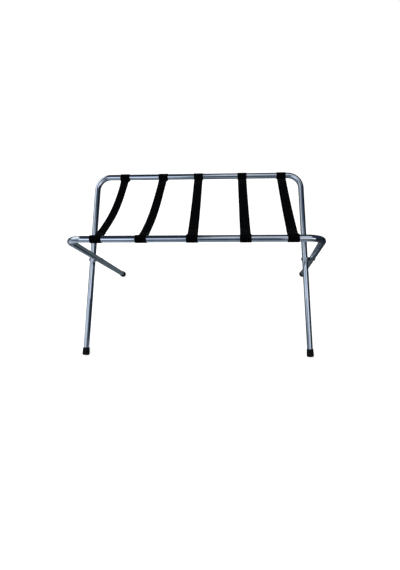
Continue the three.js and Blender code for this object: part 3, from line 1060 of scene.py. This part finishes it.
def studio_world():
    """A dim blue-grey room with soft bright and dark panels, which draw the bands on the chrome. The
    camera sees plain white."""
    world = bpy.data.worlds.new("studio")
    bpy.context.scene.world = world
    world.use_nodes = True
    nodes, links = world.node_tree.nodes, world.node_tree.links
    x, y, z = split(nodes, links, node(nodes, "TexCoord").outputs["Generated"])
    front = arithmetic(nodes, links, "MULTIPLY", y, -1.0)
    turn = arithmetic(nodes, links, "ARCTAN2", z, front)
    over = arithmetic(nodes, links, "MULTIPLY", turn, 180 / math.pi)
    colour = ramp(nodes, links, share_of(nodes, links, over, 180.0), ROOM_SHADES)
    for panel in ROOM_PANELS:
        soft_across, soft_over = panel["soft"]
        across = between(nodes, links, x, *panel["across"], soft_across)
        height = between(nodes, links, over, *panel["over"], soft_over)
        mask = arithmetic(nodes, links, "MULTIPLY", across, height)
        colour = mix_colour(nodes, links, mask, colour, panel["colour"])
    room = nodes["Background"]
    links.new(colour, room.inputs["Color"])
    white = node(nodes, "Background", Color=(1, 1, 1, 1), Strength=1.0)
    surface = by_ray(nodes, links, white.outputs[0], room.outputs[0])
    links.new(surface, nodes["World Output"].inputs["Surface"])


def flag():
    """A dark card before the rack's left half near the floor, which darkens one side of the left leg."""
    leg = Vector((0, BAR_REACH + FOOT_REACH, BAR_HEIGHT)).normalized()
    foot = Vector((0, -FOOT_REACH, 0)) - leg.cross(X_AXIS) * CARD_DISTANCE
    (low, high), (left, right) = CARD_ALONG, CARD_X
    corners = [(low, left), (low, right), (high, right), (high, left)]
    points = [tuple(foot + leg * along + X_AXIS * x) for along, x in corners]
    mesh = bpy.data.meshes.new("flag")
    mesh.from_pydata(points, [], [(0, 1, 2, 3)])
    card = put("flag", mesh)
    material, _, nodes, links = new_material("dark_card")
    glow = node(nodes, "Emission", Color=CARD_COLOUR, Strength=1.0)
    links.new(glow.outputs[0], nodes["Material Output"].inputs["Surface"])
    mesh.materials.append(material)
    card.visible_camera = card.visible_diffuse = card.visible_shadow = card.visible_transmission = False


def area_light(name, place, size, power, colour):
    """A soft light that the chrome doesn't show."""
    light = bpy.data.lights.new(name, "AREA")
    light.shape = "RECTANGLE"
    light.size, light.size_y = size
    light.energy = power
    light.color = colour
    lamp = put(name, light)
    lamp.location = place
    lamp.rotation_euler = (LIGHT_TARGET - Vector(place)).to_track_quat("-Z", "Y").to_euler()
    lamp.visible_glossy = False


def camera():
    """An ordinary phone's view from a metre up, just right of the middle."""
    data = bpy.data.cameras.new("camera")
    eye = put("camera", data)
    bpy.context.scene.camera = eye
    flat = math.cos(CAMERA_PITCH)
    ahead = Vector((math.sin(CAMERA_YAW) * flat, math.cos(CAMERA_YAW) * flat, -math.sin(CAMERA_PITCH)))
    level = Vector((math.cos(CAMERA_YAW), -math.sin(CAMERA_YAW), 0))
    rise = level.cross(ahead)
    right = level * math.cos(CAMERA_ROLL) + rise * math.sin(CAMERA_ROLL)
    up = rise * math.cos(CAMERA_ROLL) - level * math.sin(CAMERA_ROLL)
    turn = Matrix((right, up, -ahead)).transposed().to_4x4()
    eye.matrix_world = Matrix.Translation(CAMERA_PLACE) @ turn
    data.sensor_width = CAMERA_SENSOR
    data.lens = CAMERA_LENS
    data.shift_x, data.shift_y = CAMERA_SHIFT


# --- assembly ---

camera()
studio_world()
area_light("key", place=(-0.6, -0.9, 2.4), size=(1.8, 1.8), power=34, colour=(1, 0.985, 0.97))
floor()
flag()
bpy.context.scene.view_settings.view_transform = "Standard"

frame_tube("rear_frame_tube", "rear_bar_frame_tube", REAR, UNTURNED)
frame_tube("front_frame_tube", "front_bar_frame_tube", FRONT, HALF_TURN)
foot_cap("front_left_foot", "front_left_foot_cap", REAR, -1, UNTURNED)
foot_cap("front_right_foot", "front_right_foot_cap", REAR, 1, UNTURNED)
foot_cap("rear_right_foot", "rear_right_foot_cap", FRONT, -1, HALF_TURN)
foot_cap("rear_left_foot", "rear_left_foot_cap", FRONT, 1, HALF_TURN)
pivot_pieces("left", REAR, FRONT, REAR, UNTURNED)
pivot_pieces("right", FRONT, REAR, REAR, HALF_TURN)
for strap_index, strap_facts in enumerate(STRAPS, start=1):
    make_strap(strap_index, strap_facts)
